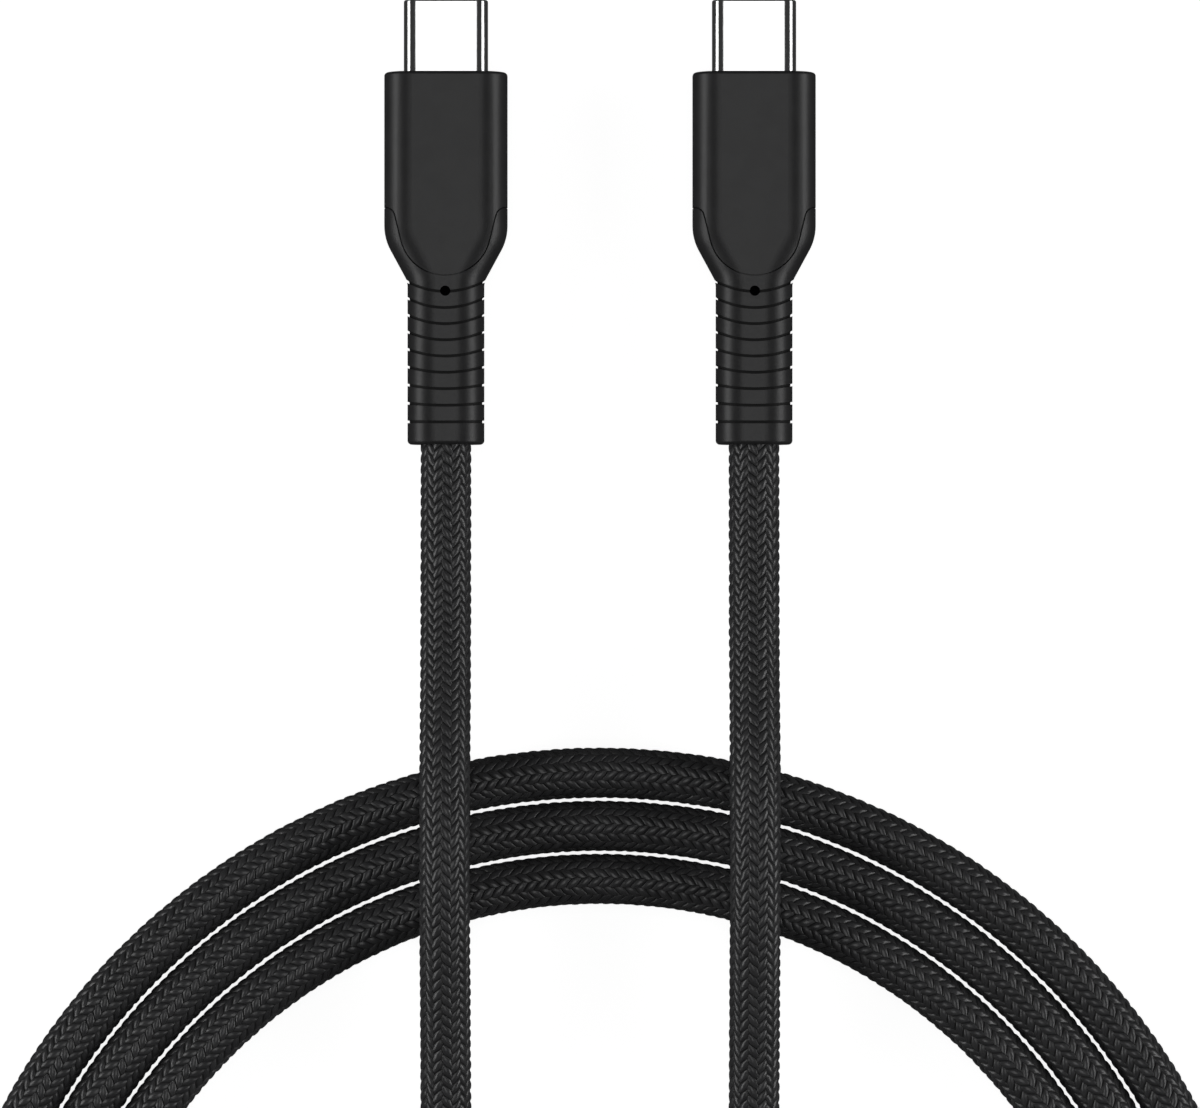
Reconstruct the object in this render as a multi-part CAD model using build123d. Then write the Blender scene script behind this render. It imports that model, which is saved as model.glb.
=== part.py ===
from build123d import *
import math
import os

os.makedirs("parts", exist_ok=True)

# A braided cable with a USB-C plug on each end, lying on a table: the two plugs side by side, and the cable
# between them in a round coil. Millimetres, +X right, +Y towards the plugs' tips, +Z up, and z = 0 is the
# table. The origin is on the table, midway between the plugs. Each plug is drawn with y = 0 at its cover's
# front face, its tip towards +Y and its axis at z = 0, and is then moved to its two places.

# Cable
cable_diameter = 5.0
plug_spacing = 30.2  # between the two plugs' axes
coil_inner_radius = 51.05
coil_turns = 3
turn_pitch = 5.205  # between the centre lines of neighbouring turns
coil_centre_y = -117.93
exit_run = 10.22  # straight, out of each plug

# Plug shell: a drawn steel tube, the metal end that goes into a socket
shell_width = 8.25
shell_thickness = 2.40
shell_wall = 0.25
shell_reach = 7.13  # ahead of the cover's front face
shell_root = 4.2  # behind it
shell_mouth_round = 0.2

# Cover and boot: one smooth outside, parted by a seam
cover_side = 1.91  # from the shell's side to the cover's side
cover_wall = 0.8
cover_front_wall = 1.2
cover_front_round = 0.35
cover_side_length = 13.28  # front face to the seam, at the sides
cover_tongue_length = 19.96  # front face to the seam, at its middle
seam_radius = 4.45
seam_slant = 14.0  # degrees, how far the seam's two sides lean outwards
seam_corner_round = 1.0
seam_gap = 0.12
seam_depth = 0.3  # the boot's lip closes the gap below this
boot_wall = 0.6  # over and under the cable
boot_side = 1.255  # beside the cable
boot_back = 36.43  # front face to the cable's exit
boot_end_round = 0.4
shoulder_start = 15.0  # front face to where the sides draw in
shoulder_radius = 5.0
waist_radius = 2.0  # where the shoulders run into the boot's straight sides
shoulder_slope = 28.5  # degrees, at the steepest
side_flat = 0.6  # between the top's and the bottom's rounding

# Ribs of the boot
rib_count = 9
rib_groove = 0.28
rib_depth = 0.2
rib_first = 20.4  # front face to the first groove, at the sides
rib_plain_end = 2.23  # last groove to the cable's exit
rib_sag = 1.14  # how far the first groove's middle is nearer to the cable than its ends
vent_diameter = 1.0  # the blind hole that the moulding's pin leaves
vent_depth = 0.45
vent_place = 21.47

# Insert: the moulded housing inside the shell, its contacts and its springs
insert_recess = 0.28  # behind the shell's mouth
slot_width = 6.9
slot_height = 1.6
slot_depth = 5.9
contact_count = 12
contact_pitch = 0.5
contact_width = 0.25
contact_thickness = 0.12
contact_tail = 1.4
contact_rise = 0.22  # how far a beam stands back from its tail's plane
latch_thickness = 0.3
latch_arm = 0.28
latch_hook = 0.35
spring_width = 5.2
spring_length = 1.0
spring_thickness = 0.12

# Card: the small circuit board behind the shell, and what is on it
card_width = 7.6
card_thickness = 0.8
card_length = 7.1
card_gap = 0.1
chip_side = 2.0
chip_height = 0.55
small_part_length = 1.0
small_part_width = 0.5
small_part_height = 0.35

# Wires: name, diameter, place across the card, side of the card, place in the bundle
wire_standoff = 0.05  # solder under each wire
wires = {
    "wire_vbus": (1.1, -2.4, 1, (-0.62, 0.75)),
    "wire_ground": (1.1, 2.4, 1, (0.62, 0.75)),
    "wire_dplus": (0.7, -1.6, -1, (-0.85, -0.55)),
    "wire_dminus": (0.7, 1.6, -1, (0.85, -0.55)),
    "wire_cc": (0.7, 0.0, -1, (0.0, -0.95)),
}
wire_landing = 1.8  # stretch soldered to the card
wire_bend = 1.2
bundle_diameter = 3.2

# Shield can: two folded halves round the card, with a tail round the wires
can_side = 0.275  # from the shell's side to the can's side
can_thickness = 3.6
can_sheet = 0.2
can_round = 0.9
can_front = 3.0
can_back = 14.0
can_tail_back = 17.6

# The cable's end inside the boot
mould_back = 18.2  # front face to the inner mould's back, where the stripped cable starts
stripped_diameter = 4.0
strip_length = 2.6
crimp_length = 2.2
crimp_margin = 0.2

# Sizes that follow
cover_width = shell_width + 2 * cover_side
thickness = cable_diameter + 2 * boot_wall
boot_width = cable_diameter + 2 * boot_side
edge_round = thickness / 2 - side_flat / 2
axis_height = thickness / 2
plug_front = (boot_back - shell_reach) / 2
can_width = shell_width + 2 * can_side
insert_front = shell_reach - insert_recess
tail_height = card_thickness / 2 + contact_thickness / 2
card_front = -shell_root - card_gap
card_back = card_front - card_length
LONG = 100.0  # longer than anything that it cuts


def bar(section, front, back):
    """A section drawn across the plug, run from y = front to y = back."""
    across = Plane((0, front, 0), x_dir=(1, 0, 0), z_dir=(0, -1, 0))
    return extrude(across * section, front - back)


def stadium(width, height):
    return SlotOverall(width, height)


def plate(sketch, bottom, height):
    """A plan drawn on the table's plane, run upwards from z = bottom."""
    return extrude(Pos(0, 0, bottom) * sketch, height)


def plan_outline():
    """The cover and boot from above: straight, drawn in by two arcs at the shoulders, then straight."""
    half_cover, half_boot = cover_width / 2, boot_width / 2
    step = half_cover - half_boot
    radii = shoulder_radius + waist_radius
    whole_turn = math.degrees(math.acos(max(-1, 1 - step / radii)))
    turn = math.radians(min(shoulder_slope, 0.95 * whole_turn))
    across = shoulder_radius * (1 - math.cos(turn))
    along = shoulder_radius * math.sin(turn)
    waist_across = waist_radius * (1 - math.cos(turn))
    slope_end = -shoulder_start - along - (step - radii * (1 - math.cos(turn))) / math.tan(turn)
    waist_end = slope_end - waist_radius * math.sin(turn)
    with BuildSketch() as outline:
        with BuildLine():
            Line((0, 0), (half_cover, 0))
            Line((half_cover, 0), (half_cover, -shoulder_start))
            first = RadiusArc(
                (half_cover, -shoulder_start),
                (half_cover - across, -shoulder_start - along),
                shoulder_radius,
            )
            slope = Line(first @ 1, (half_boot + waist_across, slope_end))
            second = RadiusArc(slope @ 1, (half_boot, waist_end), -waist_radius)
            Line(second @ 1, (half_boot, -boot_back))
            Line((half_boot, -boot_back), (0, -boot_back))
            Line((0, -boot_back), (0, 0))
        make_face()
        mirror(about=Plane.YZ)
    return outline.sketch


def outside(inset):
    """The cover's and boot's common outside, or the same shape inset by a wall."""
    plan = plan_outline()
    if inset:
        plan = offset(plan, -inset)
    solid = extrude(plan, thickness / 2 - inset, both=True)
    ends = (solid.faces().sort_by(Axis.Y)[0], solid.faces().sort_by(Axis.Y)[-1])
    end_edges = [edge for face in ends for edge in face.edges()]
    flat = solid.faces().sort_by(Axis.Z)
    rims = [e for f in (flat[0], flat[-1]) for e in f.edges() if not any(e.is_same(x) for x in end_edges)]
    return fillet(rims, edge_round - inset)


def ahead_of_seam():
    """The plan of everything on the cover's side of the seam, which is U-shaped at the middle."""
    lean = math.radians(seam_slant)
    centre = -(cover_tongue_length - seam_radius)
    low = (seam_radius * math.cos(lean), centre - seam_radius * math.sin(lean))
    corner_x = low[0] + (-cover_side_length - low[1]) * math.tan(lean)
    beyond = cover_width
    with BuildSketch() as region:
        with BuildLine():
            Line((0, beyond), (beyond, beyond))
            Line((beyond, beyond), (beyond, -cover_side_length))
            Line((beyond, -cover_side_length), (corner_x, -cover_side_length))
            Line((corner_x, -cover_side_length), low)
            RadiusArc(low, (0, -cover_tongue_length), seam_radius)
            Line((0, -cover_tongue_length), (0, beyond))
        make_face()
        mirror(about=Plane.YZ)
        corners = [v for v in region.vertices() if abs(abs(v.X) - corner_x) < 0.01]
        fillet(corners, seam_corner_round)
    return region.sketch


def rib_grooves():
    """The boot's grooves: each sags towards the cable at its middle, the first one most."""
    half = boot_width / 2
    end = half + 1  # where each arc starts and ends, beside the boot
    span = boot_back - rib_plain_end - rib_first
    band = bar(Rectangle(boot_width + 4, thickness + 2), -rib_first + 3, -boot_back)
    rim = band - outside(rib_depth)
    grooves = []
    for i in range(rib_count):
        t = i / (rib_count - 1)
        side = -rib_first - span * (0.93 * t + 0.07 * t * t)
        sag = rib_sag * (1 - 0.94 * t**1.6)
        rise = sag * ((end / half) ** 2 - 1)  # from the boot's side to the arc's end
        low, high = side - rib_groove / 2, side + rib_groove / 2
        lower = ThreePointArc((-end, low + rise), (0, low - sag), (end, low + rise))
        upper = ThreePointArc((end, high + rise), (0, high - sag), (-end, high + rise))
        outline = [lower, Line(lower @ 1, upper @ 0), upper, Line(upper @ 1, lower @ 0)]
        grooves.append(extrude(make_face(outline), thickness, both=True) & rim)
    return grooves


def cover_and_boot():
    """The outside, hollowed, and parted at the seam: the gap is open to its depth, and below it a lip of the
    boot closes it."""
    whole = outside(0)
    whole = fillet(whole.faces().sort_by(Axis.Y)[-1].edges(), cover_front_round)
    whole = fillet(whole.faces().sort_by(Axis.Y)[0].edges(), boot_end_round)
    hollow = cavity() + bar(Circle(cable_diameter / 2), -mould_back, -boot_back)
    wall = whole - hollow
    wall -= bar(stadium(shell_width, shell_thickness), 1, -cover_front_wall - 0.1)
    seam = ahead_of_seam()
    cover = wall & extrude(offset(seam, -seam_gap / 2), LONG, both=True)
    boot = wall - extrude(offset(seam, seam_gap / 2), LONG, both=True)
    lip_plan = offset(seam, seam_gap / 2) - offset(seam, -seam_gap / 2)
    lip_length = cover_tongue_length - cover_side_length + 1
    lip_plan &= Pos(0, -cover_side_length - lip_length / 2 + 0.5) * Rectangle(2 * cover_width, lip_length)
    boot += (extrude(lip_plan, LONG, both=True) & outside(seam_depth)) - hollow
    for groove in rib_grooves():
        boot -= groove
    boot -= Pos(0, -vent_place, thickness / 2) * Cylinder(vent_diameter / 2, 2 * vent_depth)
    return cover, boot


def cavity():
    """The room inside the cover's wall."""
    block = bar(Rectangle(2 * cover_width, 2 * thickness), -cover_front_wall, -mould_back)
    return outside(cover_wall) & block


def plug_shell():
    outer = bar(stadium(shell_width, shell_thickness), shell_reach, -shell_root)
    bore = bar(
        stadium(shell_width - 2 * shell_wall, shell_thickness - 2 * shell_wall),
        shell_reach + 1,
        -shell_root - 1,
    )
    outer = fillet(outer.faces().sort_by(Axis.Y)[-1].edges(), shell_mouth_round)
    return outer - bore


def contact_row(side):
    """Twelve spring contacts: a tail on the card, a straight stem, and a beam bent in to touch."""
    rise = tail_height + contact_rise
    path = FilletPolyline(
        (card_front - contact_tail, tail_height),
        (1.0, tail_height),
        (1.9, rise),
        (3.9, rise),
        (4.7, tail_height - 0.02),
        (5.4, tail_height + 0.16),
        radius=0.3,
    )
    blade = extrude(Plane.YZ * trace(path, contact_thickness), contact_width / 2, both=True)
    row = []
    for i in range(contact_count):
        place = (i - (contact_count - 1) / 2) * contact_pitch
        copy = Pos(place, 0, 0) * blade
        row.append(copy if side > 0 else copy.rotate(Axis.Y, 180))
    return row


def side_latch():
    """A stamped steel fork in the middle plane, whose two hooked arms hold the socket's tongue."""
    arm_in = slot_width / 2
    arm_out = arm_in + latch_arm
    arm_front, bridge_back, bridge_front = 5.2, 0.1, 0.8
    fork = Pos(0, (arm_front + bridge_back) / 2) * Rectangle(2 * arm_out, arm_front - bridge_back)
    fork -= Pos(0, (arm_front + bridge_front) / 2 + 1) * Rectangle(2 * arm_in, arm_front - bridge_front + 2)
    for side in (-1, 1):
        hook = make_face(
            Polyline(
                (side * arm_in, 3.7),
                (side * (arm_in - latch_hook), 4.3),
                (side * (arm_in - latch_hook), 4.6),
                (side * arm_in, arm_front),
                close=True,
            )
        )
        fork += hook
    return plate(fork, -latch_thickness / 2, latch_thickness)


def emi_spring(side):
    """A thin plate in the mouth of the slot, with three pads that touch the socket's shield."""
    outer = slot_height / 2
    centre = insert_front - 0.15 - spring_length / 2
    spring = Pos(0, centre, outer - spring_thickness / 2) * Box(spring_width, spring_length, spring_thickness)
    for place in (-1.7, 0, 1.7):
        spring += Pos(place, centre, outer - spring_thickness - 0.04) * Box(0.8, 0.5, 0.08)
    return spring if side > 0 else spring.rotate(Axis.Y, 180)


def plug_insert(fitted):
    """The housing, cut to hold its contacts and latch."""
    body = bar(
        stadium(shell_width - 2 * shell_wall, shell_thickness - 2 * shell_wall), insert_front, -shell_root
    )
    slot_back = insert_front - slot_depth
    body -= bar(Rectangle(slot_width, slot_height), insert_front + 1, slot_back)
    return body - fitted


def can_block(inset):
    section = RectangleRounded(can_width - 2 * inset, can_thickness - 2 * inset, can_round - inset)
    return bar(section, -can_front - inset, -can_back + inset)


def can_tail(diameter):
    return bar(Circle(diameter / 2), -can_back + can_sheet, -can_tail_back)


def shield_can():
    can = can_block(0) + can_tail(bundle_diameter + 2 * can_sheet)
    can -= can_block(can_sheet)
    can -= bar(Circle(bundle_diameter / 2), -can_back + 2 * can_sheet, -can_tail_back)
    can -= bar(stadium(shell_width, shell_thickness), 0, -can_front - 2 * can_sheet)
    upper = plate(Rectangle(LONG, LONG), 0, LONG)
    return can & upper, can - upper


def inner_mould():
    """The first moulding, which fills the cover round the can and the wires."""
    body = cavity() - can_block(0) - can_tail(bundle_diameter + 2 * can_sheet)
    body -= bar(Circle(bundle_diameter / 2), -can_back, -mould_back)
    return body - bar(stadium(shell_width, shell_thickness), 0, -can_front)


def card():
    length = Pos(0, (card_front + card_back) / 2)
    return plate(length * Rectangle(card_width, card_length), -card_thickness / 2, card_thickness)


def on_card(x, y, length, width, height, side):
    """A block that stands on one side of the card."""
    middle = side * (card_thickness + height) / 2
    return Pos(x, y, middle) * Box(length, width, height)


def small_parts():
    top = [on_card(x, card_front - 3.0, small_part_width, small_part_length, small_part_height, 1)
           for x in (-2.6, -1.7, 1.7, 2.6)]
    bottom = [on_card(x, card_front - 3.2, small_part_length, small_part_width, small_part_height, -1)
              for x in (-2.2, 0, 2.2)]
    return top + bottom


def chip():
    body = on_card(0, card_front - 3.0, chip_side, chip_side, chip_height, 1)
    return chamfer(body.faces().sort_by(Axis.Z)[-1].edges(), 0.08)


def wire(diameter, across, side, place):
    """One insulated wire, from its pad on the card to its place in the bundle."""
    height = side * (card_thickness / 2 + wire_standoff + diameter / 2)
    turn = card_back - 0.2
    path = FilletPolyline(
        (across, card_back + wire_landing, height),
        (across, turn, height),
        (place[0], -can_back + can_sheet, place[1]),
        (place[0], -mould_back, place[1]),
        radius=wire_bend,
    )
    return sweep(Plane(path @ 0, z_dir=path % 0) * Circle(diameter / 2), path)


def cable_end():
    sleeved = bar(Circle(cable_diameter / 2), -mould_back - strip_length, -boot_back)
    return sleeved + bar(Circle(stripped_diameter / 2), -mould_back, -mould_back - strip_length)


def crimp_ring():
    section = Circle(cable_diameter / 2) - Circle(stripped_diameter / 2)
    front = -mould_back - crimp_margin
    ring = bar(section, front, front - crimp_length)
    rims = [e for e in ring.edges().filter_by(GeomType.CIRCLE) if e.radius > stripped_diameter / 2 + 0.01]
    return chamfer(rims, 0.1)


def cord_tube(name, points):
    """A round tube along straight runs that are joined by tangent arcs."""
    radii = []
    for a, b, c in zip(points, points[1:], points[2:]):
        before, after = Vector(b) - Vector(a), Vector(c) - Vector(b)
        turn = math.radians(before.get_angle(after))
        radii.append(0.45 * min(before.length, after.length) / math.tan(turn / 2))
    path = FilletPolyline(*points, radius=radii)
    tube = sweep(Plane(path @ 0, z_dir=path % 0) * Circle(cable_diameter / 2), path)
    expected = math.pi * cable_diameter**2 / 4 * path.length
    print(name, "radii", [round(r) for r in radii], "length", round(path.length, 1),
          "volume / expected", round(tube.volume / expected, 4))
    return tube


def coil():
    """The turns of the coil as one ring, which is as high as the cable is thick."""
    width = (coil_turns - 1) * turn_pitch + cable_diameter
    section = SlotOverall(width, cable_diameter)
    place = Plane.XZ * Pos(coil_inner_radius + width / 2, cable_diameter / 2)
    ring = revolve(place * section, Axis.Z)
    return Pos(0, coil_centre_y, 0) * ring


# One plug's pieces, by name
upper_contacts, lower_contacts = contact_row(1), contact_row(-1)
latch = side_latch()
cover, boot = cover_and_boot()
can_upper, can_lower = shield_can()
plug = {
    "plug_shell": plug_shell(),
    "plug_insert": plug_insert(upper_contacts + lower_contacts + [latch]),
    "contacts_upper": Compound(upper_contacts),
    "contacts_lower": Compound(lower_contacts),
    "side_latch": latch,
    "emi_spring_upper": emi_spring(1),
    "emi_spring_lower": emi_spring(-1),
    "card": card(),
    "card_chip": chip(),
    "card_parts": Compound(small_parts()),
    "can_upper": can_upper,
    "can_lower": can_lower,
    "inner_mould": inner_mould(),
    "crimp_ring": crimp_ring(),
    "cable_end": cable_end(),
    "plug_cover": cover,
    "boot": boot,
}
for name, values in wires.items():
    plug[name] = wire(*values)

# The cable's route outside its coil, from each plug's exit. Each lead leaves its plug straight, passes over
# the coil in a low hump and comes down to the table inside it. Lead A then turns and joins the innermost
# turn. Lead B crosses over lead A, rises over the coil and joins the outermost turn.
exit_x, exit_y = plug_spacing / 2, plug_front - boot_back
lead_a_points = [
    (-exit_x, exit_y, axis_height),
    (-exit_x, exit_y - exit_run, axis_height),
    (-15.1, -43.0, 7.0),
    (-15.1, -55.0, 12.5),
    (-15.1, -67.0, 12.5),
    (-15.1, -79.0, 7.0),
    (-15.1, -90.5, 2.5),
    (-15.6, -112.0, 2.5),
    (-15.1, -148.0, 2.5),
    (1.1, -165.3, 2.5),
    (24.7, -166.8, 2.5),
    (43.1, -151.8, 2.5),
]
lead_b_points = [
    (exit_x, exit_y, axis_height),
    (exit_x, exit_y - exit_run, axis_height),
    (15.1, -43.0, 7.0),
    (15.1, -55.0, 12.5),
    (15.1, -67.0, 12.5),
    (15.1, -79.0, 7.0),
    (15.1, -90.5, 2.5),
    (15.1, -114.9, 2.5),
    (15.1, -128.9, 7.0),
    (15.1, -153.3, 12.5),
    (-5.0, -173.7, 12.5),
    (-33.6, -174.2, 12.5),
    (-52.2, -156.5, 7.5),
    (-62.9, -135.1, 2.5),
    (-63.8, -122.4, 2.5),
]

for side, letter in ((-1, "a"), (1, "b")):
    place = Pos(side * plug_spacing / 2, plug_front, axis_height)
    for name, shape in plug.items():
        export_step(place * shape, f"parts/{name}_{letter}.step")
export_step(coil(), "parts/coil.step")
export_step(cord_tube("lead_a", lead_a_points), "parts/lead_a.step")
export_step(cord_tube("lead_b", lead_b_points), "parts/lead_b.step")
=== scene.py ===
import bpy
import bmesh
import math
from mathutils import Matrix, Vector, interpolate, noise
from mathutils.bvhtree import BVHTree


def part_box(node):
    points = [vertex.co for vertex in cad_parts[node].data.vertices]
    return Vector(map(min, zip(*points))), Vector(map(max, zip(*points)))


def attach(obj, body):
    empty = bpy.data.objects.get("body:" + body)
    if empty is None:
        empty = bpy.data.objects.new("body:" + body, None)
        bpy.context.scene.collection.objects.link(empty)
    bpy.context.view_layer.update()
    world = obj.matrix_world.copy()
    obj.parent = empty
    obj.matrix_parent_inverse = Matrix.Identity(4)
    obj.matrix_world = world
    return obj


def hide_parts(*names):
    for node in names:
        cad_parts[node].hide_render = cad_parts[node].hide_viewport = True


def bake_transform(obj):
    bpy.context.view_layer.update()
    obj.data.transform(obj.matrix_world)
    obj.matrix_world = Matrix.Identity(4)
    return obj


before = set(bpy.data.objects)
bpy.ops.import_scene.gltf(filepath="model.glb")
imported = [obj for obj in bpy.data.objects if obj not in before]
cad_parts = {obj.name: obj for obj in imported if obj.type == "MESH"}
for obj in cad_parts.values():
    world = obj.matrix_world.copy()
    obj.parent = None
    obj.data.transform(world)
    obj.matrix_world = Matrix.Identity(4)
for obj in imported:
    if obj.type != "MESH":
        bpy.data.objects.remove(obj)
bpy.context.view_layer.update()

# ---------------------------------------------------------------------------------------------------------
# Camera: on a stand straight above the table, behind a long lens, so that nothing looks tilted. The plugs'
# tips reach the upper edge of its view, and the lower half of the coil lies outside it.
MM = 0.001
view_width = 117.65 * MM
view_centre = Vector((0, -32.5 * MM, 3 * MM))
nearest_seen, farthest_seen = 0.01, 20
camera_data = bpy.data.cameras.new("camera")
camera_data.lens = 180
camera_data.sensor_width = 36
camera_data.clip_start = nearest_seen
camera_data.clip_end = farthest_seen
camera = bpy.data.objects.new("camera", camera_data)
bpy.context.scene.collection.objects.link(camera)
camera.location = view_centre + Vector((0, 0, view_width * camera_data.lens / camera_data.sensor_width))
bpy.context.scene.camera = camera

# ---------------------------------------------------------------------------------------------------------
# Cable jacket: a round elastomer tube extruded over the wires in one length, and moulded into a boot at each
# end. It leaves plug A, passes over the coil, joins the innermost turn, and leaves the outermost turn for
# plug B over both.
cable_diameter = 5.0 * MM
jacket_radius = 2.15 * MM
coil_centre = Vector((0, -117.93 * MM, 0))
turn_radius = 53.55 * MM
turn_pitch = 5.205 * MM
points_per_turn = 24
first_turn_angle = 316.8  # degrees, where lead A has joined the innermost turn
last_turn_angle = 1261.8
shift_start, shift_end = 235, 300  # degrees, where each turn steps out to the next

cover_low, cover_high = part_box("plug_cover_a")
exit_z = (cover_low.z + cover_high.z) / 2
exit_a = Vector(((cover_low.x + cover_high.x) / 2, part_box("boot_a")[0].y, exit_z))
exit_b = Vector((-exit_a.x, exit_a.y, exit_z))

lead_a_route = [
    (-15.1, -32.0, 3.1),
    (-15.1, -43.0, 4.0),
    (-15.1, -55.0, 8.3),
    (-15.1, -67.0, 8.3),
    (-15.1, -79.0, 4.6),
    (-15.1, -90.5, 2.5),
    (-15.6, -112.0, 2.5),
    (-15.1, -148.0, 2.5),
    (1.1, -165.3, 2.5),
    (24.7, -166.8, 2.5),
]
lead_b_route = [
    (15.1, -32.0, 3.1),
    (15.1, -43.0, 4.0),
    (15.1, -55.0, 8.3),
    (15.1, -67.0, 8.3),
    (15.1, -79.0, 4.6),
    (15.1, -90.5, 2.5),
    (15.1, -114.9, 2.5),
    (15.1, -128.9, 5.0),
    (15.1, -153.3, 8.3),
    (-5.0, -173.7, 8.3),
    (-33.6, -174.2, 8.3),
    (-52.2, -156.5, 5.5),
    (-62.9, -135.1, 2.5),
]


def smooth_step(t):
    """A rise from 0 to 1 that starts and ends gently."""
    t = min(1, max(0, t))
    return t * t * (3 - 2 * t)


def turn_point(angle):
    """A control point of the coil, which steps out by one pitch between the shift's two angles."""
    turns_done = sum(
        smooth_step((angle - shift_start - 360 * n) / (shift_end - shift_start)) for n in (1, 2)
    )
    corner = 1 / math.cos(math.pi / points_per_turn)
    radius = (turn_radius + turn_pitch * turns_done) * corner
    around = math.radians(angle)
    return coil_centre + Vector((radius * math.cos(around), radius * math.sin(around), cable_diameter / 2))


route = [exit_a] + [Vector(p) * MM for p in lead_a_route]
turn_steps = round((last_turn_angle - first_turn_angle) * points_per_turn / 360)
route += [turn_point(first_turn_angle + i * 360 / points_per_turn) for i in range(turn_steps + 1)]
route += [Vector(p) * MM for p in reversed(lead_b_route)] + [exit_b]

jacket_curve = bpy.data.curves.new("cable_jacket", "CURVE")
jacket_curve.dimensions = "3D"
jacket_curve.twist_mode = "Z_UP"
jacket_curve.use_radius = False  # the braid that follows the curve keeps its own size
jacket_curve.resolution_u = 14
spline = jacket_curve.splines.new("NURBS")
spline.points.add(len(route) - 1)
for point, place in zip(spline.points, route):
    point.co = (*place, 1)
    point.radius = jacket_radius
spline.order_u = 3
spline.use_endpoint_u = True
jacket = bpy.data.objects.new("cable_jacket", jacket_curve)
bpy.context.scene.collection.objects.link(jacket)

# The curve is still a bare line here, so its mesh gives the cable's length.
line_mesh = bpy.data.meshes.new_from_object(jacket)
line_points = [v.co.copy() for v in line_mesh.vertices]
cable_length = sum((b - a).length for a, b in zip(line_points, line_points[1:]))
bpy.data.meshes.remove(line_mesh)
jacket_curve.bevel_depth = 1  # times each point's radius
jacket_curve.bevel_resolution = 5
jacket_curve.use_fill_caps = True


def shader(name, colour, roughness, metallic=0.0, specular=0.5):
    """A material with its shader, and its nodes and links for more."""
    material = bpy.data.materials.new(name)
    material.use_nodes = True
    nodes, links = material.node_tree.nodes, material.node_tree.links
    surface = nodes["Principled BSDF"]
    surface.inputs["Base Color"].default_value = (*colour, 1)
    surface.inputs["Roughness"].default_value = roughness
    surface.inputs["Metallic"].default_value = metallic
    surface.inputs["Specular IOR Level"].default_value = specular
    return material, nodes, links, surface


def sum_of(nodes, links, operation, *terms):
    """A Math node that takes numbers and other nodes' outputs."""
    node = nodes.new("ShaderNodeMath")
    node.operation = operation
    for socket, term in zip(node.inputs, terms):
        if isinstance(term, (int, float)):
            socket.default_value = term
        else:
            links.new(term, socket)
    return node.outputs[0]


def ranged(nodes, links, value, low, high, to_low, to_high):
    """The value, mapped smoothly from one range to another."""
    node = nodes.new("ShaderNodeMapRange")
    node.interpolation_type = "SMOOTHSTEP"
    links.new(value, node.inputs["Value"])
    for socket, number in zip(("From Min", "From Max", "To Min", "To Max"), (low, high, to_low, to_high)):
        node.inputs[socket].default_value = number
    return node.outputs["Result"]


def blended(nodes, links, share, first, second):
    """A colour between two others, each a plain colour or another node's output."""
    node = nodes.new("ShaderNodeMix")
    node.data_type = "RGBA"
    links.new(share, node.inputs["Factor"])
    for socket, colour in ((node.inputs[6], first), (node.inputs[7], second)):
        if isinstance(colour, tuple):
            socket.default_value = (*colour, 1)
        else:
            links.new(colour, socket)
    return node.outputs[2]


def raised(nodes, links, surface, height, distance, below=None):
    """A bump on the shader, over another one where there is one below."""
    bump = nodes.new("ShaderNodeBump")
    bump.inputs["Distance"].default_value = distance
    links.new(height, bump.inputs["Height"])
    if below:
        links.new(below.outputs[0], bump.inputs["Normal"])
    links.new(bump.outputs[0], surface.inputs["Normal"])
    return bump


def grained(name, colour, roughness, grain, depth, variation=0.12, metallic=0.0, specular=0.5, drawn=1.0):
    """A finish whose colour, gloss and surface vary with a fine grain, drawn out along Y by so many times."""
    patch = 25 * grain
    material, nodes, links, surface = shader(name, colour, roughness, metallic, specular)
    place = nodes.new("ShaderNodeTexCoord")
    stretch = nodes.new("ShaderNodeMapping")
    stretch.inputs["Scale"].default_value = (1, 1 / drawn, 1)
    links.new(place.outputs["Object"], stretch.inputs["Vector"])
    fine = nodes.new("ShaderNodeTexNoise")
    fine.inputs["Scale"].default_value = 1 / grain
    fine.inputs["Detail"].default_value = 3
    links.new(stretch.outputs[0], fine.inputs["Vector"])
    broad = nodes.new("ShaderNodeTexNoise")
    broad.inputs["Scale"].default_value = 1 / patch
    links.new(stretch.outputs[0], broad.inputs["Vector"])
    patchy = sum_of(nodes, links, "MULTIPLY", fine.outputs["Fac"], broad.outputs["Fac"])
    dull = tuple(c * (1 - variation) for c in colour)
    bright = tuple(min(1, c * (1 + variation)) for c in colour)
    share = ranged(nodes, links, patchy, 0.15, 0.35, 0, 1)
    links.new(blended(nodes, links, share, dull, bright), surface.inputs["Base Color"])
    gloss = ranged(nodes, links, fine.outputs["Fac"], 0.3, 0.7, 0.88 * roughness, 1.12 * roughness)
    links.new(gloss, surface.inputs["Roughness"])
    raised(nodes, links, surface, fine.outputs["Fac"], depth)
    return material


jacket_elastomer = grained(
    "jacket_elastomer", (0.012, 0.012, 0.013), 0.6, grain=0.12 * MM, depth=0.006 * MM, variation=0.25
)
jacket_curve.materials.append(jacket_elastomer)
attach(jacket, "cable")
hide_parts("lead_a", "coil", "lead_b")

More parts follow.
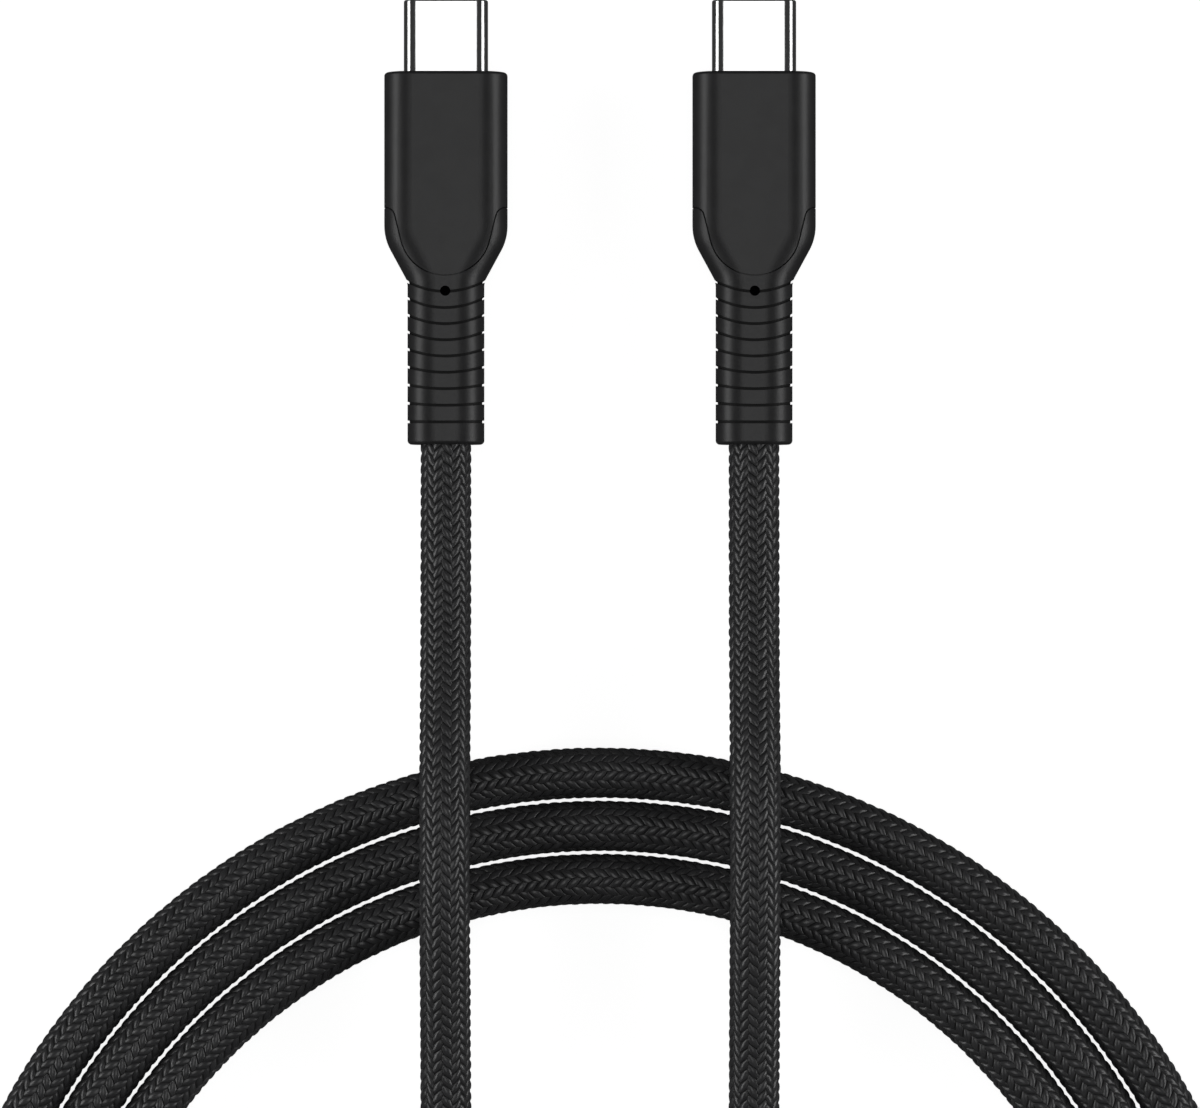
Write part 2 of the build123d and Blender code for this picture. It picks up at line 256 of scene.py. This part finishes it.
# ---------------------------------------------------------------------------------------------------------
# Braided sleeve: black polyester yarns plaited over the jacket, over two and under two, in one run from plug
# to plug. The floats stand in columns along the cable and lean one way and then the other. It is modelled in
# seven stretches, end to end.
braid_pitch = 1.06 * MM  # from one float to the next along its column
braid_columns = 16
braid_turn = math.radians(15.9)  # how far round the cable the first column starts
steps_across = 4
steps_along = 6
braid_depth = 0.215 * MM
float_lean = 0.72 * MM  # how much farther along one end of a float is than the other
float_plumpness = 3.4  # the higher, the flatter a float's top and the steeper its edges
crowd_across = 0.11  # shares by which a float's steps crowd towards its edges
crowd_along = 0.085
border_height = 0.3  # share of the braid's depth
border_sway = 0.1  # share of a column by which each float's end swells into the gap beside it
yarn_waver = 0.035 * MM
waver_length = 0.9 * MM
weld_distance = 0.02 * MM  # between the rows of floats
around_count = braid_columns * steps_across


def crowded(share, crowd):
    """A place across a float, moved towards the nearer edge, and how high the float stands there."""
    place = share - crowd * math.sin(2 * math.pi * share)
    return place, 1 - abs(2 * place - 1) ** float_plumpness


def braid_cell():
    """One pitch of the braid all round the cable, along +X, with its floats raised."""
    bm = bmesh.new()
    bmesh.ops.create_circle(
        bm, segments=around_count, radius=cable_diameter / 2, matrix=Matrix.Rotation(math.pi / 2, 4, "Y")
    )
    edges = bm.edges[:]
    for _ in range(steps_along):
        grown = bmesh.ops.extrude_edge_only(bm, edges=edges)["geom"]
        edges = [e for e in grown if isinstance(e, bmesh.types.BMEdge)]
        verts = [v for v in grown if isinstance(v, bmesh.types.BMVert)]
        bmesh.ops.translate(bm, verts=verts, vec=(braid_pitch / steps_along, 0, 0))
    step_of = {}
    for v in bm.verts:
        around = round(math.atan2(v.co.y, v.co.z) / (2 * math.pi) * around_count) % around_count
        step_of[v.index] = (around, round(v.co.x / (braid_pitch / steps_along)))
    uv = bm.loops.layers.uv.new("yarn")
    for face in bm.faces:
        wraps = {step_of[l.vert.index][0] for l in face.loops} == {0, around_count - 1}
        for loop in face.loops:
            around, along = step_of[loop.vert.index]
            across = around_count if wraps and around == 0 else around
            loop[uv].uv = (across / steps_across, along / steps_along)
    for v in bm.verts:
        around, along = step_of[v.index]
        column, across = divmod(around, steps_across)
        phase = (along + column * steps_along // 2) % steps_along
        side, side_height = crowded(across / steps_across, crowd_across)
        front, front_height = crowded(phase / steps_along, crowd_along)
        lean = side if column % 2 else 1 - side
        height = side_height * front_height
        forward = front - phase / steps_along
        if not across:
            height, forward = border_height, 0
            side = border_sway * math.cos(2 * math.pi * phase / steps_along)
        turned = 2 * math.pi * (column + side) / braid_columns + braid_turn
        radius = cable_diameter / 2 - braid_depth * (1 - height)
        x = v.co.x + lean * float_lean + forward * braid_pitch
        v.co = (x, radius * math.sin(turned), radius * math.cos(turned))
    bmesh.ops.recalc_face_normals(bm, faces=bm.faces)
    mesh = bpy.data.meshes.new("braid_cell")
    bm.to_mesh(mesh)
    bm.free()
    return mesh


def baked(thing, name):
    """The thing's mesh with its modifiers applied, as a new object at the origin."""
    bpy.context.view_layer.update()
    evaluated = thing.evaluated_get(bpy.context.evaluated_depsgraph_get())
    mesh = bpy.data.meshes.new_from_object(evaluated)
    mesh.name = name
    piece = bpy.data.objects.new(name, mesh)
    bpy.context.scene.collection.objects.link(piece)
    bpy.data.objects.remove(thing)
    return piece


def braided_sleeve(name, first_row, rows):
    """The braid along one stretch of the cable, from one row of floats to another."""
    straight = bpy.data.objects.new(name, cell.copy())
    bpy.context.scene.collection.objects.link(straight)
    straight.data.transform(Matrix.Translation((first_row * braid_pitch, 0, 0)))
    array = straight.modifiers.new("rows", "ARRAY")
    array.use_relative_offset = False
    array.use_constant_offset = True
    array.constant_offset_displace = (braid_pitch, 0, 0)
    array.count = rows
    array.use_merge_vertices = True
    array.merge_threshold = weld_distance
    array.offset_v = 1
    straight = baked(straight, name)
    for v in straight.data.vertices:
        v.co += yarn_waver * noise.noise_vector(v.co / waver_length)
    bend = straight.modifiers.new("along the cable", "CURVE")
    bend.object = jacket
    bend.deform_axis = "POS_X"
    sleeve = baked(straight, name)
    sleeve.data.shade_smooth()
    return sleeve


cell = braid_cell()
stretch_count = 7
last_row = round(cable_length / braid_pitch) + 1
cuts = [round(-1 + (last_row + 1) * i / stretch_count) for i in range(stretch_count + 1)]
sleeves = [braided_sleeve(f"sleeve_{i + 1}", a, b - a) for i, (a, b) in enumerate(zip(cuts, cuts[1:]))]

# Each float is a flat bundle of fine filaments that run along it. The gaps between floats are painted near
# black: painted shade, for the shade that falls between the floats.
filament_colour = (0.062, 0.062, 0.064)
worn_colour = (0.044, 0.044, 0.046)
# Painted shade: the near-black colour painted into the gaps between floats, for the shade in them.
gap_painted_shade = (0.004, 0.004, 0.004)
gap_width = 0.19  # share of a float's pitch that its dark edge takes
side_gap_thinning = 1.7  # how many times thinner that edge is at a float's sides
float_corner = 0.12
float_rounding = 0.05 * MM
filament_count = 15  # along the cable, in one float
filament_stretch = 2.2
filament_relief = 0.008 * MM
braid_finish, nodes, links, surface = shader("braided_yarn", filament_colour, 0.3, specular=0.65)
yarn = nodes.new("ShaderNodeUVMap")
yarn.uv_map = "yarn"
split = nodes.new("ShaderNodeSeparateXYZ")
links.new(yarn.outputs[0], split.inputs[0])
column = sum_of(nodes, links, "FLOOR", split.outputs["X"])
half_row = sum_of(nodes, links, "PINGPONG", column, 1)
row = sum_of(nodes, links, "MULTIPLY_ADD", half_row, 0.5, split.outputs["Y"])
from_side = sum_of(nodes, links, "PINGPONG", split.outputs["X"], 0.5)
from_side = sum_of(nodes, links, "MULTIPLY", from_side, side_gap_thinning)
from_end = sum_of(nodes, links, "PINGPONG", row, 0.5)
from_gap = sum_of(nodes, links, "SMOOTH_MIN", from_side, from_end, float_corner)
whole_float = ranged(nodes, links, from_gap, -0.02, gap_width, 0, 1)
float_number = nodes.new("ShaderNodeCombineXYZ")
links.new(column, float_number.inputs[0])
links.new(sum_of(nodes, links, "FLOOR", row), float_number.inputs[1])
each = nodes.new("ShaderNodeTexWhiteNoise")
links.new(float_number.outputs[0], each.inputs["Vector"])
along_yarn = nodes.new("ShaderNodeCombineXYZ")
links.new(sum_of(nodes, links, "MULTIPLY", split.outputs["X"], filament_stretch), along_yarn.inputs[0])
links.new(sum_of(nodes, links, "MULTIPLY", row, filament_count), along_yarn.inputs[1])
filaments = nodes.new("ShaderNodeTexNoise")
filaments.inputs["Scale"].default_value = 1
filaments.inputs["Detail"].default_value = 2
links.new(along_yarn.outputs[0], filaments.inputs["Vector"])
yarn_colour = blended(nodes, links, each.outputs["Value"], worn_colour, filament_colour)
# Painted shade: the mask darkens the gaps between floats towards the painted shade colour.
links.new(blended(nodes, links, whole_float, gap_painted_shade, yarn_colour), surface.inputs["Base Color"])
gloss = ranged(nodes, links, filaments.outputs["Fac"], 0.3, 0.7, 0.25, 0.36)
gap_gloss = ranged(nodes, links, whole_float, 0, 1, 0.5, 0)
links.new(sum_of(nodes, links, "ADD", gloss, gap_gloss), surface.inputs["Roughness"])
rounding = raised(nodes, links, surface, whole_float, float_rounding)
raised(nodes, links, surface, filaments.outputs["Fac"], filament_relief, rounding)

for sleeve in sleeves:
    sleeve.data.materials.clear()
    sleeve.data.materials.append(braid_finish)
    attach(sleeve, "cable")

# ---------------------------------------------------------------------------------------------------------
# Plug shell: a seamless steel tube drawn to a flat oval, plated with bright nickel and held in the cover's
# front wall. It is the end that enters a socket, and it carries the faint lines of drawing along it.


def finish(material, *kinds):
    """Give the material to both plugs' pieces of these kinds."""
    for kind in kinds:
        for letter in "ab":
            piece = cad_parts[f"{kind}_{letter}"]
            piece.data.materials.clear()
            piece.data.materials.append(material)


nickel = grained(
    "bright_nickel", (0.87, 0.87, 0.88), 0.11, grain=0.05 * MM, depth=0.0006 * MM,
    variation=0.03, metallic=1, drawn=30,
)
finish(nickel, "plug_shell")

# ---------------------------------------------------------------------------------------------------------
# Insert: the black glass-filled housing pressed into the shell, moulded with the slots that hold the contacts
# and the latch.
insert_plastic = grained(
    "insert_plastic", (0.018, 0.018, 0.019), 0.5, grain=0.08 * MM, depth=0.004 * MM, variation=0.35
)
finish(insert_plastic, "plug_insert")

# ---------------------------------------------------------------------------------------------------------
# Contacts: two rows of bronze beams, stamped, plated with gold over nickel and pushed into the insert. Their
# tails are soldered to the card.
gold = grained(
    "contact_gold", (0.83, 0.56, 0.2), 0.22, grain=0.04 * MM, depth=0.0008 * MM,
    variation=0.08, metallic=1, drawn=12,
)
finish(gold, "contacts_upper", "contacts_lower")

# ---------------------------------------------------------------------------------------------------------
# Latch and springs: stamped spring steel with the rolling mill's fine lines along it. The latch lies between
# the rows of contacts, and the springs are clipped over and under the insert.
spring_steel = grained(
    "spring_steel", (0.56, 0.56, 0.57), 0.26, grain=0.05 * MM, depth=0.001 * MM,
    variation=0.1, metallic=1, drawn=20,
)
finish(spring_steel, "side_latch", "emi_spring_upper", "emi_spring_lower")

# ---------------------------------------------------------------------------------------------------------
# Card: a small circuit board of glass cloth and epoxy behind the insert, soldered to the contacts' tails. The
# weave of the cloth shows through its green lacquer.
cloth_thread = 0.4 * MM
band_scale = 0.314  # the wave texture's scale for bands a metre apart
cloth_relief = 0.006 * MM
board_lacquer, nodes, links, surface = shader("board_lacquer", (0.01, 0.06, 0.03), 0.3)
place = nodes.new("ShaderNodeTexCoord")
cloth_heights = []
for direction in ("X", "Y"):
    thread = nodes.new("ShaderNodeTexWave")
    thread.bands_direction = direction
    thread.inputs["Scale"].default_value = band_scale / cloth_thread
    thread.inputs["Distortion"].default_value = 0.6
    links.new(place.outputs["Object"], thread.inputs["Vector"])
    cloth_heights.append(thread.outputs["Fac"])
cloth = sum_of(nodes, links, "MULTIPLY", *cloth_heights)
lacquer = blended(nodes, links, cloth, (0.008, 0.045, 0.022), (0.014, 0.085, 0.04))
links.new(lacquer, surface.inputs["Base Color"])
links.new(ranged(nodes, links, cloth, 0, 1, 0.36, 0.24), surface.inputs["Roughness"])
raised(nodes, links, surface, cloth, cloth_relief)
finish(board_lacquer, "card")

# ---------------------------------------------------------------------------------------------------------
# Chip and small parts: the chip that tells the devices what the cable can carry, in a moulded epoxy package,
# and capacitors and resistors of fired ceramic, all soldered to the card.
epoxy = grained("chip_epoxy", (0.022, 0.022, 0.023), 0.62, grain=0.03 * MM, depth=0.003 * MM, variation=0.3)
finish(epoxy, "card_chip")
ceramic = grained("fired_ceramic", (0.3, 0.2, 0.12), 0.4, grain=0.05 * MM, depth=0.002 * MM, variation=0.2)
finish(ceramic, "card_parts")

# ---------------------------------------------------------------------------------------------------------
# Wires: stranded copper in thin extruded jackets, a colour for each wire. They are soldered to the card and
# run back through the can's tail into the cable.
wire_colours = {
    "wire_vbus": (0.42, 0.02, 0.02),
    "wire_ground": (0.02, 0.02, 0.02),
    "wire_dplus": (0.03, 0.22, 0.06),
    "wire_dminus": (0.62, 0.62, 0.6),
    "wire_cc": (0.03, 0.09, 0.4),
}
for kind, colour in wire_colours.items():
    wire_jacket = grained(f"{kind}_jacket", colour, 0.38, grain=0.06 * MM, depth=0.002 * MM, variation=0.1)
    finish(wire_jacket, kind)

# ---------------------------------------------------------------------------------------------------------
# Shield can: two halves folded from tinned steel sheet, which snap together over the card and close round the
# wires. The tin has the faint frosting of a hot dip.
tin_crystal = 1.2 * MM
tin_relief = 0.002 * MM
tin, nodes, links, surface = shader("tinned_steel", (0.66, 0.65, 0.62), 0.3, metallic=1)
place = nodes.new("ShaderNodeTexCoord")
crystals = nodes.new("ShaderNodeTexVoronoi")
crystals.inputs["Scale"].default_value = 1 / tin_crystal
links.new(place.outputs["Object"], crystals.inputs["Vector"])
frost = crystals.outputs["Distance"]
links.new(blended(nodes, links, frost, (0.6, 0.59, 0.56), (0.72, 0.71, 0.68)), surface.inputs["Base Color"])
links.new(ranged(nodes, links, frost, 0, 1, 0.22, 0.38), surface.inputs["Roughness"])
raised(nodes, links, surface, frost, tin_relief)
finish(tin, "can_upper", "can_lower")

# ---------------------------------------------------------------------------------------------------------
# Inner mould: milky polyethylene shot round the can and the wires before the cover goes on. It holds them
# still, and the cover and the boot sit on it.
milky = grained(
    "milky_polyethylene", (0.72, 0.71, 0.66), 0.48, grain=0.2 * MM, depth=0.01 * MM, variation=0.06
)
finish(milky, "inner_mould")

# ---------------------------------------------------------------------------------------------------------
# Crimp ring: a copper band, a little tarnished, pressed round the stripped end of the cable so that a pull
# doesn't reach the solder.
copper = grained(
    "crimp_copper", (0.72, 0.34, 0.2), 0.3, grain=0.08 * MM, depth=0.003 * MM, variation=0.22, metallic=1
)
finish(copper, "crimp_ring")

# ---------------------------------------------------------------------------------------------------------
# Cable's end in the boot: the jacket from the crimp to the boot's mouth, thinner where its braid is stripped.
# The boot is moulded onto it, and the two bend together.
bend_start_run = 14.93 * MM  # from the boot's mouth to where it starts to bend
strip_length = 2.6 * MM
stripped_diameter = 4.0 * MM
ring_segments = 48
ring_run = 0.8 * MM  # about, between the rings that let it bend
sharp_corner = math.radians(35)


def bending(piece):
    """Bake the piece's place into its mesh; the piece is left unbent."""
    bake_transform(piece)


def cable_end(letter):
    """The jacket as rings from the crimp to the boot's mouth, closed at both ends."""
    low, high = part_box(f"cable_end_{letter}")
    front = Vector(((low.x + high.x) / 2, high.y, (low.z + high.z) / 2))
    turned = Matrix.Translation(front) @ Matrix.Rotation(math.pi / 2, 4, "X")
    bm = bmesh.new()
    bmesh.ops.create_circle(bm, segments=ring_segments, radius=stripped_diameter / 2, matrix=turned)
    edges = bm.edges[:]
    ring_count = round((high.y - strip_length - low.y) / ring_run)
    step = (high.y - strip_length - low.y) / ring_count
    wider = (high.x - low.x) / stripped_diameter
    for run, growth in [(strip_length, 1), (0, wider)] + [(step, 1)] * ring_count:
        grown = bmesh.ops.extrude_edge_only(bm, edges=edges)["geom"]
        edges = [e for e in grown if isinstance(e, bmesh.types.BMEdge)]
        verts = [v for v in grown if isinstance(v, bmesh.types.BMVert)]
        bmesh.ops.scale(bm, vec=(growth, 1, growth), space=Matrix.Translation(-front), verts=verts)
        bmesh.ops.translate(bm, vec=(0, -run, 0), verts=verts)
    bmesh.ops.holes_fill(bm, edges=bm.edges)
    bmesh.ops.recalc_face_normals(bm, faces=bm.faces)
    return bm


def piece_of(bm, name, *materials):
    """The bmesh as an object at the origin, smooth but for its corners."""
    for face in bm.faces:
        face.smooth = True
    mesh = bpy.data.meshes.new(name)
    bm.to_mesh(mesh)
    bm.free()
    mesh.set_sharp_from_angle(angle=sharp_corner)
    for material in materials:
        mesh.materials.append(material)
    piece = bpy.data.objects.new(name, mesh)
    bpy.context.scene.collection.objects.link(piece)
    return piece


for letter in "ab":
    end_piece = piece_of(cable_end(letter), f"cable_end_{letter}_bending", jacket_elastomer)
    bending(end_piece)
    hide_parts(f"cable_end_{letter}")

# ---------------------------------------------------------------------------------------------------------
# Plug cover: a seamless sleeve of black polycarbonate, moulded with a fine satin texture and pushed on from
# the front until its tongue meets the boot.
satin_black = grained(
    "satin_polycarbonate", (0.03, 0.03, 0.031), 0.4, grain=0.09 * MM, depth=0.0022 * MM, variation=0.1
)
finish(satin_black, "plug_cover")

# ---------------------------------------------------------------------------------------------------------
# Boot: the strain relief, a thermoplastic elastomer moulded over the inner mould, the crimp and the cable. It
# has nine grooves that let it bend, and a blind hole where a pin held the cable in the mould. Its mesh is cut
# across into rings, and is left unbent.
boot_elastomer = grained(
    "boot_elastomer", (0.028, 0.028, 0.029), 0.39, grain=0.11 * MM, depth=0.003 * MM, variation=0.12
)
# Painted shade: near black and matte, for the deep shade inside the blind pin hole.
pin_hole_painted_shade = grained(
    "boot_pin_hole_painted_shade", (0.002, 0.002, 0.002), 0.9, grain=0.1 * MM, depth=0.004 * MM, variation=0.3, specular=0
)
# Painted shade: darker than the boot, for the shade that falls in its grooves.
groove_painted_shade = grained(
    "boot_groove_painted_shade", (0.013, 0.013, 0.013), 0.6, grain=0.11 * MM, depth=0.003 * MM,
    variation=0.2, specular=0.25,
)
boot_ring_run = 0.6 * MM
weld, cut_weld = 0.0005 * MM, 0.0001 * MM
plain_run = 1.2 * MM  # from the boot's mouth to where its section has no groove
grooved_runs = (1.6 * MM, 16.6 * MM)
groove_depths = (0.05 * MM, 0.27 * MM)  # of the faces in a groove, below the plain section
pin_mark_run = 14.96 * MM
pin_mark_radius = 0.502 * MM
pin_mark_rim = 0.02 * MM  # the boot's own face stops within this of its top
ring_overrun = 1 * MM  # past the start of the bend
well_outside = 10 * MM


def boot(letter):
    """The CAD boot's own surface, cut into rings across, its grooves and pin hole marked for painted shade.
    """
    low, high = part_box(f"boot_{letter}")
    bm = bmesh.new()
    bm.from_mesh(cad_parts[f"boot_{letter}"].data)
    bmesh.ops.remove_doubles(bm, verts=bm.verts, dist=weld)
    for i in range(1, round((bend_start_run + ring_overrun) / boot_ring_run)):
        cut = (0, low.y + i * boot_ring_run, 0)
        geometry = bm.verts[:] + bm.edges[:] + bm.faces[:]
        bmesh.ops.bisect_plane(bm, geom=geometry, dist=cut_weld, plane_co=cut, plane_no=(0, 1, 0))
    pin_centre = Vector(((low.x + high.x) / 2, low.y + pin_mark_run))
    plain_centre = Vector((pin_centre.x, low.y + plain_run, exit_z))
    boot_surface = BVHTree.FromBMesh(bm)
    for face in bm.faces:
        middle = face.calc_center_median()
        outward = Vector((middle.x - pin_centre.x, 0, middle.z - exit_z))
        outside = plain_centre + well_outside * outward.normalized()
        outline, *_ = boot_surface.ray_cast(outside, -outward)
        sunk = (outline - plain_centre).length - outward.length
        in_groove = groove_depths[0] < sunk < groove_depths[1]
        # Faces in a groove take slot 2, the painted shade for the shade in the grooves.
        if in_groove and grooved_runs[0] < middle.y - low.y < grooved_runs[1]:
            face.material_index = 2
        # Faces in the pin hole take slot 1, the near-black painted shade for the shade in the hole.
        inside = (middle.xy - pin_centre).length < pin_mark_radius
        if inside and exit_z < middle.z < high.z - pin_mark_rim:
            face.material_index = 1
    return bm


def keep_shading(mesh, source):
    """Give the cut mesh's corners the normals of the surface that it was cut from."""
    source.calc_loop_triangles()
    triangles = source.loop_triangles
    tree = BVHTree.FromPolygons([v.co for v in source.vertices], [t.vertices for t in triangles])
    normals = []
    for polygon in mesh.polygons:
        for vertex in polygon.vertices:
            inside = mesh.vertices[vertex].co.lerp(polygon.center, 0.03)
            place, _, nearest, _ = tree.find_nearest(inside)
            corners = [source.vertices[i].co for i in triangles[nearest].vertices]
            shares = interpolate.poly_3d_calc(corners, place)
            around = [source.corner_normals[i].vector for i in triangles[nearest].loops]
            normals.append(sum((n * share for n, share in zip(around, shares)), Vector()).normalized())
    mesh.normals_split_custom_set(normals)


for letter in "ab":
    boot_piece = piece_of(boot(letter), f"boot_{letter}_bending", boot_elastomer, pin_hole_painted_shade, groove_painted_shade)
    keep_shading(boot_piece.data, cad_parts[f"boot_{letter}"].data)
    bending(boot_piece)
    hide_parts(f"boot_{letter}")

# ---------------------------------------------------------------------------------------------------------
# Studio: a pale table with a lamp overhead and a broad soft light low down on each side. The walls are dark,
# so the black parts keep dark edges.
floor_reach = 3
floor_drop = 0.05 * MM
floor_mesh = bpy.data.meshes.new("floor")
bm = bmesh.new()
bmesh.ops.create_grid(bm, x_segments=1, y_segments=1, size=floor_reach)
bmesh.ops.translate(bm, verts=bm.verts, vec=(0, 0, -floor_drop))
bm.to_mesh(floor_mesh)
bm.free()
floor = bpy.data.objects.new("floor", floor_mesh)
bpy.context.scene.collection.objects.link(floor)
floor_material, nodes, links, surface = shader("floor", (0.4, 0.4, 0.4), 0.9, specular=0)
surface.inputs["Emission Color"].default_value = (1, 1, 1, 1)
surface.inputs["Emission Strength"].default_value = 0.92
floor_mesh.materials.append(floor_material)
floor.visible_glossy = False
floor.visible_diffuse = False

wall_colour = (0.035, 0.035, 0.035, 1)
backdrop_colour = (1, 1, 1, 1)
world = bpy.data.worlds.new("studio")
bpy.context.scene.world = world
world.use_nodes = True
nodes, links = world.node_tree.nodes, world.node_tree.links
seen = nodes.new("ShaderNodeLightPath")
mix = nodes.new("ShaderNodeMix")
mix.data_type = "RGBA"
links.new(seen.outputs["Is Camera Ray"], mix.inputs["Factor"])
mix.inputs[6].default_value = wall_colour
mix.inputs[7].default_value = backdrop_colour
links.new(mix.outputs[2], nodes["Background"].inputs["Color"])

studio_centre = Vector((0, -50 * MM, 0))
side_tilt = 71


def soft_light(name, tilt, reach, width, length, brightness):
    """A soft light tilted from straight overhead towards +X, as bright all over as brightness says."""
    data = bpy.data.lights.new(name, "AREA")
    data.shape = "RECTANGLE"
    data.size, data.size_y = width, length
    data.energy = brightness * math.pi * width * length
    light = bpy.data.objects.new(name, data)
    bpy.context.scene.collection.objects.link(light)
    angle = math.radians(tilt)
    light.rotation_euler = (0, angle, 0)
    light.location = studio_centre + reach * Vector((math.sin(angle), 0, math.cos(angle)))
    light.visible_camera = False


soft_light("overhead", 0, reach=1.2, width=0.5, length=0.9, brightness=1.35)
soft_light("left_side", -side_tilt, reach=0.7, width=0.28, length=0.7, brightness=2.7)
soft_light("right_side", side_tilt, reach=0.7, width=0.28, length=0.7, brightness=2.7)
bpy.context.scene.view_settings.view_transform = "Standard"
